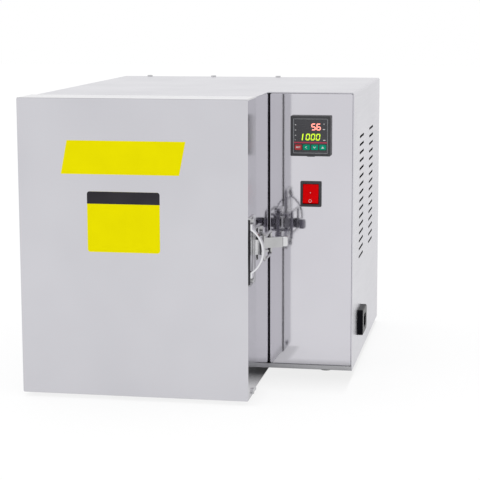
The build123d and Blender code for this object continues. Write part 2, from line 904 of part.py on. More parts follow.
# ---------------------------------------------------------------- latch: cabinet side
ear_round = 5.5
with BuildPart() as latch_bracket:
    with BuildSketch(Plane.YZ.offset(hot_right)):
        with Locations((bracket_front + bracket_depth / 2, latch_z)):
            RectangleRounded(bracket_depth, bracket_height, 3.0)
    extrude(amount=latch_plate_thickness)
    for base_z in (latch_z - ear_half_height, latch_z + ear_half_height - ear_thickness):
        with BuildSketch(Plane.XY.offset(base_z)):
            with Locations((pivot_x, pivot_y)):
                Circle(ear_round)
            with Locations((middle(hot_right + 1.0, pivot_x), pivot_y)):
                Rectangle(pivot_x - hot_right - 1.0, 2 * ear_round)
            with Locations((pivot_x, pivot_y)):
                Circle(hinge_pin_radius + press_gap, mode=Mode.SUBTRACT)
        extrude(amount=ear_thickness)
    screw_holes(bracket_places, 2 * latch_plate_thickness)
save(latch_bracket.part, "latch_bracket")

with BuildPart() as latch_pin:
    with BuildSketch(Plane.XY.offset(latch_z - ear_half_height)):
        with Locations((pivot_x, pivot_y)):
            Circle(hinge_pin_radius)
    extrude(amount=2 * ear_half_height)
save(latch_pin.part, "latch_pin")

# The lever is drawn at rest: swung out, with the bail let go.
lever_plane = Plane(
    origin=(pivot_x, pivot_y, latch_z),
    x_dir=(cos(radians(lever_rest_angle)), sin(radians(lever_rest_angle)), 0),
    z_dir=(0, 0, 1),
)
strap_end = lever_reach - knob_radius + strap_thickness / 2
strap_y = (strap_thickness - lever_block) / 2
tongue_start = strap_end - strap_thickness
tongue_length = lever_reach - tongue_start
tongue_x = middle(tongue_start, lever_reach)
tongue_y = strap_y + (strap_thickness - tongue_thickness) / 2
with BuildPart() as latch_lever:
    # the strap lies flush with the outer side of the pivot block
    with BuildSketch(lever_plane.offset(-lever_height / 2)):
        with Locations((bail_offset / 2, 0)):
            SlotOverall(bail_offset + lever_block, lever_block)
        with Locations((middle(bail_offset, strap_end), strap_y)):
            Rectangle(strap_end - bail_offset, strap_thickness)
        with Locations((lever_reach, 0)):
            Circle(knob_radius + press_gap, mode=Mode.SUBTRACT)
        Circle(hinge_pin_radius + running_clearance, mode=Mode.SUBTRACT)
        with Locations((bail_offset, 0)):
            Circle(bail_wire + running_clearance, mode=Mode.SUBTRACT)
    extrude(amount=lever_height)
    # flat tongue that the knob is pressed on
    with BuildSketch(lever_plane):
        with Locations((tongue_x, tongue_y)):
            Rectangle(tongue_length, tongue_thickness)
    extrude(amount=tongue_height / 2, both=True)
save(latch_lever.part, "latch_lever")

# Upright barrel-shaped knob, rounded at its ends.
with BuildPart() as lever_ball:
    with BuildSketch(lever_plane.offset(-knob_height / 2)):
        with Locations((lever_reach, 0)):
            Circle(knob_radius)
    extrude(amount=knob_height)
    fillet(lever_ball.edges().filter_by(GeomType.CIRCLE), knob_round)
    with BuildSketch(lever_plane):
        with Locations((tongue_x, tongue_y)):
            Rectangle(tongue_length + 2 * press_gap, tongue_thickness + 2 * press_gap)
    extrude(amount=tongue_height / 2 + press_gap, both=True, mode=Mode.SUBTRACT)
save(lever_ball.part, "lever_ball")

# Wire bail: two legs and a crossbar, its ends turned into the lever block.
bail_pin_x = pivot_x + bail_offset * cos(radians(lever_rest_angle))
bail_pin_y = pivot_y + bail_offset * sin(radians(lever_rest_angle))
bail_bend = 3.5
bail_engaged = 3.0
with BuildPart() as latch_bail:
    with BuildLine(Plane.YZ.offset(bail_pin_x)) as bail_line:
        FilletPolyline(
            (bail_pin_y, latch_z - lever_height / 2 + bail_engaged),
            (bail_pin_y, latch_z - bail_half_height),
            (bail_pin_y - bail_length, latch_z - bail_half_height),
            (bail_pin_y - bail_length, latch_z + bail_half_height),
            (bail_pin_y, latch_z + bail_half_height),
            (bail_pin_y, latch_z + lever_height / 2 - bail_engaged),
            radius=bail_bend,
        )
    with BuildSketch(Plane(origin=bail_line.line @ 0, z_dir=bail_line.line % 0)):
        Circle(bail_wire)
    sweep(path=bail_line.line)
save(latch_bail.part, "latch_bail")

# ---------------------------------------------------------------- temperature controller
bezel_front = panel_front - controller_proud
bezel_border = 3.2
window_size = controller_size - 2 * bezel_border
window_recess = 1.0
window_thickness = 2.0
board_thickness = 1.6
button_drop = 13.4
button_row_z = controller_z - button_drop
tab_width = 9.0
tab_drop = 0.9

with BuildPart() as controller_case:
    with BuildSketch(Plane.XZ.offset(-panel_front)):
        with Locations((panel_x, controller_z)):
            RectangleRounded(controller_case_size, controller_case_size, 1.0)
    extrude(amount=-controller_depth)
save(controller_case.part, "controller_case")

with BuildPart() as controller_bezel:
    with BuildSketch(Plane.XZ.offset(-panel_front)):
        with Locations((panel_x, controller_z)):
            RectangleRounded(controller_size, controller_size, 1.5)
    extrude(amount=controller_proud)
    fillet(controller_bezel.faces().sort_by(Axis.Y)[0].edges(), 1.0)
    with BuildSketch(Plane.XZ.offset(-panel_front)):
        with Locations((panel_x, controller_z)):
            Rectangle(window_size, window_size)
    extrude(amount=controller_proud, mode=Mode.SUBTRACT)
    # release tab under the lower edge
    add_slab(
        panel_x - tab_width / 2,
        panel_x + tab_width / 2,
        panel_front - controller_proud / 2,
        panel_front,
        controller_z - controller_size / 2 - tab_drop,
        controller_z - controller_size / 2,
    )
save(controller_bezel.part, "controller_bezel")

button_spots = [(panel_x + (index - 1.5) * button_pitch, button_row_z) for index in range(4)]
button_names = ("set_button", "shift_button", "down_button", "up_button")
window_front = bezel_front + window_recess
button_slack = 0.25

with BuildPart() as controller_window:
    with BuildSketch(Plane.XZ.offset(-window_front)):
        with Locations((panel_x, controller_z)):
            Rectangle(window_size, window_size)
        with Locations(*button_spots):
            RectangleRounded(
                button_width + 2 * button_slack,
                button_height + 2 * button_slack,
                1.0,
                mode=Mode.SUBTRACT,
            )
    extrude(amount=-window_thickness)
save(controller_window.part, "controller_window")

# Circuit board with the four push switches that the buttons press.
board_front = panel_front - board_thickness
tact_size = 3.5
button_depth = 4.2
button_front = window_front - 0.8
tact_front = button_front + button_depth + button_travel + 0.1
with BuildPart() as controller_board:
    with BuildSketch(Plane.XZ.offset(-panel_front)):
        with Locations((panel_x, controller_z)):
            Rectangle(window_size, window_size)
    extrude(amount=board_thickness)
    with BuildSketch(Plane.XZ.offset(-board_front)):
        with Locations(*button_spots):
            Rectangle(tact_size, tact_size)
    extrude(amount=board_front - tact_front)
save(controller_board.part, "controller_board")

for name, spot in zip(button_names, button_spots):
    with BuildPart() as button:
        with BuildSketch(Plane.XZ.offset(-(button_front + button_depth))):
            with Locations(spot):
                RectangleRounded(button_width, button_height, 0.9)
        extrude(amount=button_depth)
        fillet(button.faces().sort_by(Axis.Y)[0].edges(), 0.4)
    save(button.part, name)

# Clamp frame that pulls the controller against the panel from behind.
clamp_width = 53.0
clamp_depth = 9.0
with BuildPart() as controller_clamp:
    with BuildSketch(Plane.XZ.offset(-(panel_front + sheet))):
        with Locations((panel_x, controller_z)):
            RectangleRounded(clamp_width, clamp_width, 2.0)
            Rectangle(
                controller_case_size + 2 * fit_gap,
                controller_case_size + 2 * fit_gap,
                mode=Mode.SUBTRACT,
            )
    extrude(amount=-clamp_depth)
save(controller_clamp.part, "controller_clamp")

# ---------------------------------------------------------------- rocker switch
rocker_y = panel_front - switch_bezel + 3.0
rocker_slack = 0.3
switch_body_depth = 24.0
cavity_half_height = rocker_radius + rocker_slack
trunnion_radius = 1.3
trunnion_reach = 1.0
switch_body_width = switch_hole_width - 2 * fit_gap
switch_body_height = switch_hole_height - 2 * fit_gap

with BuildPart() as switch_body:
    with BuildSketch(Plane.XZ.offset(-panel_front)):
        with Locations((panel_x, switch_z)):
            RectangleRounded(switch_width, switch_height, 1.5)
    extrude(amount=switch_bezel)
    fillet(switch_body.faces().sort_by(Axis.Y)[0].edges(), 0.8)
    with BuildSketch(Plane.XZ.offset(-panel_front)):
        with Locations((panel_x, switch_z)):
            Rectangle(switch_body_width, switch_body_height)
    extrude(amount=-switch_body_depth)
    # round-bottomed well for the rocker
    with BuildSketch(Plane.YZ.offset(panel_x - rocker_width / 2 - rocker_slack)):
        with Locations((rocker_y, switch_z)):
            Circle(cavity_half_height)
        with Locations((rocker_y - cavity_half_height / 2, switch_z)):
            Rectangle(cavity_half_height, 2 * cavity_half_height)
    extrude(amount=rocker_width + 2 * rocker_slack, mode=Mode.SUBTRACT)
    # sockets for the rocker's trunnions
    with BuildSketch(Plane.YZ.offset(panel_x - rocker_width / 2 - trunnion_reach - rocker_slack)):
        with Locations((rocker_y, switch_z)):
            Circle(trunnion_radius + running_clearance)
    extrude(amount=rocker_width + 2 * trunnion_reach + 2 * rocker_slack, mode=Mode.SUBTRACT)
save(switch_body.part, "switch_body")

# Rocker at rest with its upper half pressed in.
rocker_face = 4.6
rocker_dip = 0.9
tilt = radians(rocker_tilt)
rocker_plane = Plane(
    origin=(panel_x - rocker_width / 2, rocker_y, switch_z),
    x_dir=(0, -cos(tilt), sin(tilt)),
    z_dir=(1, 0, 0),
)
rocker_half = (rocker_radius**2 - rocker_face**2) ** 0.5
rocker_back = 3.0
with BuildPart() as switch_rocker:
    with BuildSketch(rocker_plane):
        with BuildLine():
            Polyline(
                (rocker_face, rocker_half),
                (rocker_face - rocker_dip, 0),
                (rocker_face, -rocker_half),
            )
            RadiusArc((rocker_face, -rocker_half), (0, -rocker_radius), -rocker_radius)
            Polyline((0, -rocker_radius), (-rocker_back, 0), (0, rocker_radius))
            RadiusArc((0, rocker_radius), (rocker_face, rocker_half), -rocker_radius)
        make_face()
    extrude(amount=rocker_width)
    with BuildSketch(rocker_plane.offset(-trunnion_reach)):
        Circle(trunnion_radius)
    extrude(amount=rocker_width + 2 * trunnion_reach)
save(switch_rocker.part, "switch_rocker")

blade_width = 6.3
blade_thickness = 0.8
blade_length = 8.0
with BuildPart() as switch_blades:
    with BuildSketch(Plane.XZ.offset(-(panel_front + switch_body_depth))):
        with Locations((panel_x, switch_z)):
            with GridLocations(11.0, 9.0, 2, 2):
                Rectangle(blade_width, blade_thickness)
    extrude(amount=-blade_length)
save(switch_blades.part, "switch_blades")

# ---------------------------------------------------------------- mains inlet
inlet_face_x = body_right + inlet_proud
inlet_body_depth = 18.0
with BuildPart() as mains_inlet:
    with BuildSketch(Plane.YZ.offset(body_right)):
        with Locations((inlet_y, inlet_z)):
            RectangleRounded(inlet_length, inlet_height, 6.0)
    extrude(amount=inlet_proud)
    fillet(mains_inlet.faces().sort_by(Axis.X)[-1].edges(), 1.5)
    with BuildSketch(Plane.YZ.offset(body_right)):
        with Locations((inlet_y, inlet_z)):
            Rectangle(inlet_cut_length - 2 * fit_gap, inlet_cut_height - 2 * fit_gap)
    extrude(amount=-inlet_body_depth)
    # socket with two cut corners
    with BuildSketch(Plane.YZ.offset(inlet_face_x)) as socket:
        with Locations((inlet_y, inlet_z)):
            Rectangle(socket_length, socket_height)
        chamfer(socket.vertices().group_by(Axis.Z)[-1], 4.0)
    extrude(amount=-socket_depth, mode=Mode.SUBTRACT)
save(mains_inlet.part, "mains_inlet")

pin_length = 15.5
live_spacing = 14.0
earth_rise = 4.0
with BuildPart() as inlet_pins:
    with BuildSketch(Plane.YZ.offset(inlet_face_x - socket_depth)):
        with Locations(
            (inlet_y - live_spacing / 2, inlet_z - earth_rise / 2),
            (inlet_y + live_spacing / 2, inlet_z - earth_rise / 2),
            (inlet_y, inlet_z + earth_rise / 2),
        ):
            Rectangle(2.0, 4.0)
    extrude(amount=pin_length)
save(inlet_pins.part, "inlet_pins")

# ---------------------------------------------------------------- power parts in the bay
sink_width = 60.0
sink_length = 90.0
sink_height = 30.0
sink_plate = 5.0
fin_count = 8
fin_thickness = 2.0
bay_x = middle(hot_right, body_right - sheet)
sink_setback = 140.0
sink_front = panel_front + sink_setback
fin_pitch = (sink_width - fin_thickness) / (fin_count - 1)
with BuildPart() as relay_heatsink:
    with BuildSketch(Plane.XZ.offset(-(sink_front + sink_length))):
        with Locations((bay_x, base_top + sink_height - sink_plate / 2)):
            Rectangle(sink_width, sink_plate)
        with Locations((bay_x, base_top + (sink_height - sink_plate) / 2)):
            with GridLocations(fin_pitch, 0, fin_count, 1):
                Rectangle(fin_thickness, sink_height - sink_plate)
    extrude(amount=sink_length)
save(relay_heatsink.part, "relay_heatsink")

relay_width = 45.0
relay_length = 57.0
relay_height = 23.0
relay_hole_inset = 9.0
sink_top = base_top + sink_height
with BuildPart() as solid_state_relay:
    with BuildSketch(Plane.XY.offset(sink_top)):
        with Locations((bay_x, sink_front + sink_length / 2)):
            RectangleRounded(relay_width, relay_length, 2.0)
    extrude(amount=relay_height)
    with BuildSketch(Plane.XY.offset(sink_top)):
        with Locations((bay_x, sink_front + sink_length / 2)):
            with GridLocations(0, relay_length - relay_hole_inset, 1, 2):
                Circle(screw_radius + hole_clearance)
    extrude(amount=relay_height, mode=Mode.SUBTRACT)
save(solid_state_relay.part, "solid_state_relay")

strip_width = 20.0
strip_length = 70.0
strip_height = 18.0
strip_ways = 5
strip_setback = 75.0
strip_offset = 28.0
strip_x = hot_right + strip_offset
strip_y = panel_front + strip_setback
with BuildPart() as terminal_strip:
    with BuildSketch(Plane.XY.offset(base_top)):
        with Locations((strip_x, strip_y)):
            Rectangle(strip_width, strip_length)
    extrude(amount=strip_height)
    with BuildSketch(Plane.XY.offset(base_top + strip_height)):
        with Locations((strip_x, strip_y)):
            with GridLocations(0, strip_length / strip_ways, 1, strip_ways):
                Circle(2.6)
    extrude(amount=-8.0, mode=Mode.SUBTRACT)
save(terminal_strip.part, "terminal_strip")

# ---------------------------------------------------------------- screws
with BuildPart() as cabinet_screws:
    pan_screws(cabinet_places, 2 * sheet + screw_bite)
save(cabinet_screws.part, "cabinet_screws")

with BuildPart() as door_screws:
    pan_screws(tray_left_places + tray_right_places + liner_places, 2 * sheet + screw_bite)
save(door_screws.part, "door_screws")

with BuildPart() as door_fitting_screws:
    pan_screws(keeper_places, latch_plate_thickness + sheet + screw_bite)
    for height in hinge_centres:
        pan_screws(door_leaf_places(height), leaf_thickness + sheet + screw_bite)
save(door_fitting_screws.part, "door_fitting_screws")

with BuildPart() as cabinet_fitting_screws:
    pan_screws(bracket_places, latch_plate_thickness + sheet + screw_bite)
    for height in hinge_centres:
        pan_screws(cabinet_leaf_places(height), leaf_thickness + sheet + screw_bite)
save(cabinet_fitting_screws.part, "cabinet_fitting_screws")
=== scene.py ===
import json
import math

import bmesh
import bpy
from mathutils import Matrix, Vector


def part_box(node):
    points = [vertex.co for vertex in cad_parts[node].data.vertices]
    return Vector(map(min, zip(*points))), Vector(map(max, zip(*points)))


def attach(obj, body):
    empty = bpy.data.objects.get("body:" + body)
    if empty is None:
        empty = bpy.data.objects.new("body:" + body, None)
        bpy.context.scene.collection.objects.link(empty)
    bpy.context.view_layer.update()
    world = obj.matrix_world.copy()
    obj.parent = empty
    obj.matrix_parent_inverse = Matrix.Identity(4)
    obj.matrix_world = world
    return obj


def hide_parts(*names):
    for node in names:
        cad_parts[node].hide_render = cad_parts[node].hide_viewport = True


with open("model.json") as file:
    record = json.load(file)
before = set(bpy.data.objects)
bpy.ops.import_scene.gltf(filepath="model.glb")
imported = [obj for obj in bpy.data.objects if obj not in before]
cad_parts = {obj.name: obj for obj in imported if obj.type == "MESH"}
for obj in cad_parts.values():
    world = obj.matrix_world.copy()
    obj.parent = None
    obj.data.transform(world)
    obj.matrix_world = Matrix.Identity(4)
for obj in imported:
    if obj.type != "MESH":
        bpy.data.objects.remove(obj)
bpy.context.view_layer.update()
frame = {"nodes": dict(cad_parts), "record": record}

# Lengths are in metres unless a name or comment says mm.
MM = 0.001
WHITE = (1, 1, 1, 1)

# ---------------------------------------------------------------- camera
camera_data = bpy.data.cameras.new("camera")
camera_data.lens = 114.79
camera_data.sensor_width = 36.0
camera_data.clip_start = 0.05
camera_data.clip_end = 60.0
camera = bpy.data.objects.new("camera", camera_data)
camera.location = (0.3750, -1.8947, 0.4592)
camera.rotation_euler = [math.radians(angle) for angle in (80.897, 0.142, 10.298)]
bpy.context.collection.objects.link(camera)
bpy.context.scene.camera = camera
bpy.context.scene.view_settings.view_transform = "Standard"

# ---------------------------------------------------------------- world and lamps
# strength of the world as light; direct rays see it plain white
WORLD_LEVEL = 1.12


def direct_rays(tree):
    """1 for camera, glossy and transmission rays, which see the white backdrop."""
    path = tree.nodes.new("ShaderNodeLightPath")
    total = path.outputs["Is Camera Ray"]
    for name in ("Is Glossy Ray", "Is Transmission Ray"):
        either = tree.nodes.new("ShaderNodeMath")
        either.operation = "MAXIMUM"
        tree.links.new(total, either.inputs[0])
        tree.links.new(path.outputs[name], either.inputs[1])
        total = either.outputs[0]
    return total


def make_world():
    world = bpy.data.worlds.new("studio")
    world.use_nodes = True
    tree = world.node_tree
    tree.nodes.clear()
    output = tree.nodes.new("ShaderNodeOutputWorld")
    mix = tree.nodes.new("ShaderNodeMixShader")
    lit = tree.nodes.new("ShaderNodeBackground")
    lit.inputs["Color"].default_value = WHITE
    lit.inputs["Strength"].default_value = WORLD_LEVEL
    seen = tree.nodes.new("ShaderNodeBackground")
    seen.inputs["Color"].default_value = WHITE
    tree.links.new(direct_rays(tree), mix.inputs[0])
    tree.links.new(lit.outputs[0], mix.inputs[1])
    tree.links.new(seen.outputs[0], mix.inputs[2])
    tree.links.new(mix.outputs[0], output.inputs[0])
    bpy.context.scene.world = world


def soft_light(name, location, target, size, power):
    """Rectangular lamp at location that points at target."""
    data = bpy.data.lights.new(name, "AREA")
    data.shape = "RECTANGLE"
    data.size, data.size_y = size
    data.energy = power
    lamp = bpy.data.objects.new(name, data)
    lamp.location = location
    heading = Vector(target) - Vector(location)
    lamp.rotation_euler = heading.to_track_quat("-Z", "Y").to_euler()
    bpy.context.collection.objects.link(lamp)


make_world()
soft_light("top_light", (0.0, -0.3, 2.6), (0, 0, 0), (3.0, 3.0), 3)
soft_light("left_light", (-2.4, -1.6, 1.6), (0, 0, 0.2), (1.6, 2.0), 6)
soft_light("back_light", (0.0, 4.0, 0.9), (0, 0, 0.3), (5.0, 1.4), 1.5)


# ---------------------------------------------------------------- material helpers
class Nodes:
    """One principled material, built node by node."""

    def __init__(self, name):
        self.material = bpy.data.materials.new(name)
        self.material.use_nodes = True
        self.tree = self.material.node_tree
        self.tree.nodes.clear()
        self.output = self.add("ShaderNodeOutputMaterial")
        self.shader = self.add("ShaderNodeBsdfPrincipled")
        self.link(self.shader.outputs[0], self.output.inputs[0])
        self.coords = self.add("ShaderNodeTexCoord").outputs["Object"]

    def add(self, kind, **inputs):
        node = self.tree.nodes.new(kind)
        for key, value in inputs.items():
            node.inputs[key].default_value = value
        return node

    def link(self, a, b):
        self.tree.links.new(a, b)

    def set(self, **inputs):
        """Plain values on the shader's own sockets."""
        for key, value in inputs.items():
            self.shader.inputs[key.replace("_", " ")].default_value = value

    def noise(self, scale=(1, 1, 1), detail=3.0, rough=0.5, size=1.0):
        """Noise with size cells a metre, stretched by scale along each axis."""
        stretch = self.add("ShaderNodeMapping", Scale=scale)
        self.link(self.coords, stretch.inputs["Vector"])
        node = self.add("ShaderNodeTexNoise", Scale=size, Detail=detail, Roughness=rough)
        self.link(stretch.outputs[0], node.inputs["Vector"])
        return node.outputs["Fac"]

    def range(self, value, low, high, from_low=0.3, from_high=0.7):
        node = self.add("ShaderNodeMapRange")
        node.inputs["From Min"].default_value = from_low
        node.inputs["From Max"].default_value = from_high
        node.inputs["To Min"].default_value = low
        node.inputs["To Max"].default_value = high
        self.link(value, node.inputs["Value"])
        return node.outputs[0]

    def tint(self, value, tones, from_low=0.3, from_high=0.7):
        """Colour that goes from the first tone to the second as value rises."""
        node = self.add("ShaderNodeValToRGB")
        ends = node.color_ramp.elements
        for end, position, tone in zip(ends, (from_low, from_high), tones):
            end.position = position
            end.color = (*tone, 1)
        self.link(value, node.inputs[0])
        return node.outputs[0]

    def blend(self, factor, first, second):
        node = self.add("ShaderNodeMix")
        node.data_type = "RGBA"
        self.link(factor, node.inputs["Factor"])
        self.link(first, node.inputs["A"])
        self.link(second, node.inputs["B"])
        return node.outputs["Result"]

    def math(self, operation, first, second):
        """Maths on two values, each a socket or a float."""
        node = self.add("ShaderNodeMath")
        node.operation = operation
        for socket, value in zip(node.inputs, (first, second)):
            if isinstance(value, float):
                socket.default_value = value
            else:
                self.link(value, socket)
        return node.outputs[0]

    def place(self):
        """X, Y and Z in the piece's own axes."""
        node = self.add("ShaderNodeSeparateXYZ")
        self.link(self.coords, node.inputs[0])
        return node.outputs

    def facing(self):
        """X, Y and Z of the normal, in the piece's own axes."""
        node = self.add("ShaderNodeSeparateXYZ")
        self.link(self.add("ShaderNodeTexCoord").outputs["Normal"], node.inputs[0])
        return node.outputs

    def leaning(self, lean):
        """Normal turned a little towards -X, as on a sheet that isn't quite square."""
        moved = self.add("ShaderNodeVectorMath")
        moved.operation = "SUBTRACT"
        moved.inputs[1].default_value = (lean, 0, 0)
        self.link(self.add("ShaderNodeNewGeometry").outputs["Normal"], moved.inputs[0])
        unit = self.add("ShaderNodeVectorMath")
        unit.operation = "NORMALIZE"
        self.link(moved.outputs[0], unit.inputs[0])
        return unit.outputs[0]

    def bump(self, height, strength, distance):
        node = self.add("ShaderNodeBump", Strength=strength, Distance=distance)
        self.link(height, node.inputs["Height"])
        self.link(node.outputs[0], self.shader.inputs["Normal"])
        return node

    def paint(self, value, tones, mask=None, shade_and_print_tones=None):
        """Base colour from tones, and where mask says from the second set of tones, used for painted shade
        and for print.
        """
        colour = self.tint(value, tones)
        if mask:
            colour = self.blend(mask(self), colour, self.tint(value, shade_and_print_tones))
        self.link(colour, self.shader.inputs["Base Color"])

    def roughen(self, value, rough):
        self.link(self.range(value, *rough), self.shader.inputs["Roughness"])

    def show_mix(self, factor, first, second):
        """Show a mix of two shaders in place of the principled one."""
        mix = self.add("ShaderNodeMixShader")
        self.link(factor, mix.inputs[0])
        self.link(first, mix.inputs[1])
        self.link(second, mix.inputs[2])
        self.link(mix.outputs[0], self.output.inputs[0])


# depths of the bump textures
GRAIN_DEPTH = 0.2 * MM
SPECK_DEPTH = 0.6 * MM
WAVE_DEPTH = 2.0 * MM


def sheet_steel(
    name, tones, rough, grain, grain_bump,
    wave_bump=0.0, wave_size=9.0, lean=0.0, rim=1.0, mask=None, shade_and_print_tones=None,
):
    """Metal with a directional grain and slow unevenness.

    rim is its brightness seen edge-on, and where mask says the second set of tones paints shade.
    lean turns the normal under the waves, so it needs wave_bump.
    """
    m = Nodes(name)
    m.set(Metallic=1.0, Specular_Tint=(rim, rim, rim, 1))
    slow = m.noise(detail=2.0, size=wave_size)
    streak = m.noise(grain, detail=4.0, rough=0.6)
    m.paint(slow, tones, mask, shade_and_print_tones)
    m.roughen(streak, rough)
    bump = m.bump(streak, grain_bump, GRAIN_DEPTH)
    if wave_bump:
        waves = m.add("ShaderNodeBump", Strength=wave_bump, Distance=WAVE_DEPTH)
        m.link(slow, waves.inputs["Height"])
        m.link(waves.outputs[0], bump.inputs["Normal"])
        if lean:
            m.link(m.leaning(lean), waves.inputs["Normal"])
    return m.material


def moulded(name, tones, rough, size=900.0, strength=0.08, coat=0.0, shine=0.5, mask=None, shade_and_print_tones=None):
    """Moulded plastic, rubber, glaze or film with a fine texture; where mask says, the second set of tones
    paints shade on the rocker and print on the plate.
    """
    m = Nodes(name)
    m.set(Specular_IOR_Level=shine)
    if coat:
        m.set(Coat_Weight=coat, Coat_Roughness=0.08)
    slow = m.noise(detail=2.0, size=40.0)
    fine = m.noise(detail=3.0, size=size)
    m.paint(slow, tones, mask, shade_and_print_tones)
    m.roughen(fine, rough)
    m.bump(fine, strength, GRAIN_DEPTH)
    return m.material


def mineral(name, tones, fibre=(60, 240, 240), strength=0.5, speck=700.0):
    """Fibre board, rope or unglazed ceramic."""
    m = Nodes(name)
    fibres = m.noise(fibre, detail=6.0, rough=0.7)
    specks = m.noise(detail=4.0, size=speck)
    m.link(m.tint(fibres, tones, 0.35, 0.65), m.shader.inputs["Base Color"])
    m.roughen(specks, (0.85, 1.0))
    m.bump(specks, strength, SPECK_DEPTH)
    return m.material


def glowing(name, colour, strength):
    """Lit segments of the display."""
    m = Nodes(name)
    m.set(Roughness=0.35, Emission_Strength=strength)
    flicker = m.noise(detail=1.0, size=300.0)
    dim = tuple(channel * 0.9 for channel in colour)
    light = m.tint(flicker, (dim, colour))
    m.link(light, m.shader.inputs["Base Color"])
    m.link(light, m.shader.inputs["Emission Color"])
    return m.material


# ---------------------------------------------------------------- masks
# painted shade on the vented part of the right side: how deep it reaches below the outer face, and where it
# lies
VENT_DEPTH = 4.0 * MM
VENT_Y = (-0.02, 0.20)
VENT_Z = (0.125, 0.295)
# the door's rear flange gets painted shade beyond this X
FLANGE_SHADE_X = 0.0815
# dark head of the lower front plate
HEAD_Z = (0.2270, 0.2410)


def rear_face_shade(m):
    """1 on faces turned to the back, which get painted shade, 0 on the others."""
    return m.range(m.facing()["Y"], 0.0, 1.0, 0.1, 0.6)


def front_face_shade(m):
    """1 on faces turned to the front, which get painted shade, 0 on the others."""
    return m.range(m.facing()["Y"], 1.0, 0.0, -0.9, -0.5)


def keeper_dark_reflections(m):
    """Painted dark reflections: 1 on the keeper plate's front edge and on upright bars across its outer face,
    0 elsewhere.
    """
    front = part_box("latch_keeper")[0][1]
    edge = m.range(m.place()["Y"], 1.0, 0.0, front + 0.4 * MM, front + 0.8 * MM)
    bars = m.range(m.noise((1, 150, 12), detail=2.0), 0.0, 0.95, 0.47, 0.52)
    outer = m.range(m.facing()["X"], 0.0, 1.0, 0.7, 0.95)
    return m.math("MAXIMUM", edge, m.math("MULTIPLY", bars, outer))


def vent_shade(m):
    """1 on the inner side and the slot edges of the vented right side, which get painted shade, 0 elsewhere.
    """
    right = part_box("outer_shell")[1][0]
    place = m.place()
    factor = m.range(place["X"], 1.0, 0.0, right - 0.10 * MM, right - 0.03 * MM)
    factor = m.math("MULTIPLY", factor, m.math("GREATER_THAN", place["X"], right - VENT_DEPTH))
    for axis, (low, high) in (("Z", VENT_Z), ("Y", VENT_Y)):
        factor = m.math("MULTIPLY", factor, m.math("GREATER_THAN", place[axis], low))
        factor = m.math("MULTIPLY", factor, m.math("LESS_THAN", place[axis], high))
    return factor


def door_edge_shade(m):
    """Painted shade: 0.3 along the middle of the top fold's curve and 1 on the free edge of the rear flange,
    0 elsewhere.
    """
    facing = m.facing()
    fold_start = m.range(facing["Z"], 0.0, 0.3, 0.45, 0.62)
    fold_end = m.range(facing["Z"], 1.0, 0.0, 0.93, 0.985)
    fold = m.math("MULTIPLY", fold_start, fold_end)
    rear = m.range(facing["Y"], 0.0, 1.0, 0.6, 0.9)
    flange = m.math("MULTIPLY", rear, m.math("GREATER_THAN", m.place()["X"], FLANGE_SHADE_X))
    return m.math("MAXIMUM", fold, flange)


def rocker_rim_shade(m):
    """1 on the rocker's left and right rims, which get painted shade from the recess round them, 0 between
    them.
    """
    low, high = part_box("switch_rocker")
    middle, half = (low[0] + high[0]) / 2, (high[0] - low[0]) / 2
    aside = m.math("ABSOLUTE", m.math("SUBTRACT", m.place()["X"], middle), 0.0)
    return m.range(aside, 0.0, 1.0, half - 1.6 * MM, half - 1.0 * MM)


def plate_head(m):
    """1 on the dark head of the lower front plate, 0 elsewhere."""
    z = m.place()["Z"]
    low, high = HEAD_Z
    return m.math("MULTIPLY", m.math("GREATER_THAN", z, low), m.math("LESS_THAN", z, high))


# ---------------------------------------------------------------- materials
# tones that several metals share, each from dark to light
SATIN_TONES = (0.59, 0.585, 0.62), (0.63, 0.625, 0.66)
POLISHED_TONES = (0.60, 0.59, 0.63), (0.63, 0.62, 0.66)
STEEL_TONES = (0.42, 0.42, 0.425), (0.50, 0.50, 0.505)
# painted shade for the rear faces of the latch and the knob
REAR_SHADE_TONES = (0.26, 0.255, 0.28), (0.34, 0.335, 0.36)
# painted shade inside the body, for the back panel and the vents
INSIDE_SHADE_TONES = (0.004, 0.004, 0.005), (0.010, 0.010, 0.012)
# roughness, and noise cells a metre along X, Y and Z
SATIN_FINISH = (0.30, 0.38), (14, 14, 900)
FITTING_FINISH = (0.10, 0.18), (300, 300, 60)
LONG_GRAIN = (500, 8, 8)

# painted shade darkens the door's top fold and the free edge of its rear flange
DOOR_STEEL = sheet_steel(
    "door_steel", ((0.585, 0.58, 0.615), (0.62, 0.615, 0.65)), (0.13, 0.17), LONG_GRAIN, 0.01,
    wave_bump=0.03, rim=0.92, mask=door_edge_shade, shade_and_print_tones=((0.02, 0.02, 0.022), (0.03, 0.03, 0.033)),
)
WALL_STEEL = sheet_steel(
    "polished_steel", POLISHED_TONES, (0.03, 0.05), LONG_GRAIN, 0.004, wave_bump=0.02, rim=0.94,
)
PANEL_STEEL = sheet_steel(
    "panel_steel", POLISHED_TONES, (0.045, 0.07), LONG_GRAIN, 0.004, wave_bump=0.02, lean=0.0115,
)
# the right side's inner face and slot edges carry painted shade
SHELL_STEEL = sheet_steel(
    "shell_steel", SATIN_TONES, *SATIN_FINISH, 0.02, mask=vent_shade, shade_and_print_tones=INSIDE_SHADE_TONES,
)
# painted shade on the back panel's inner face, seen through the vents
BACK_STEEL = sheet_steel(
    "back_steel", SATIN_TONES, *SATIN_FINISH, 0.02, mask=front_face_shade, shade_and_print_tones=INSIDE_SHADE_TONES,
)
# the latch parts' rear faces carry painted shade
LATCH_STEEL = sheet_steel(
    "latch_steel", STEEL_TONES, *FITTING_FINISH, 0.04, wave_size=60.0, mask=rear_face_shade, shade_and_print_tones=REAR_SHADE_TONES,
)
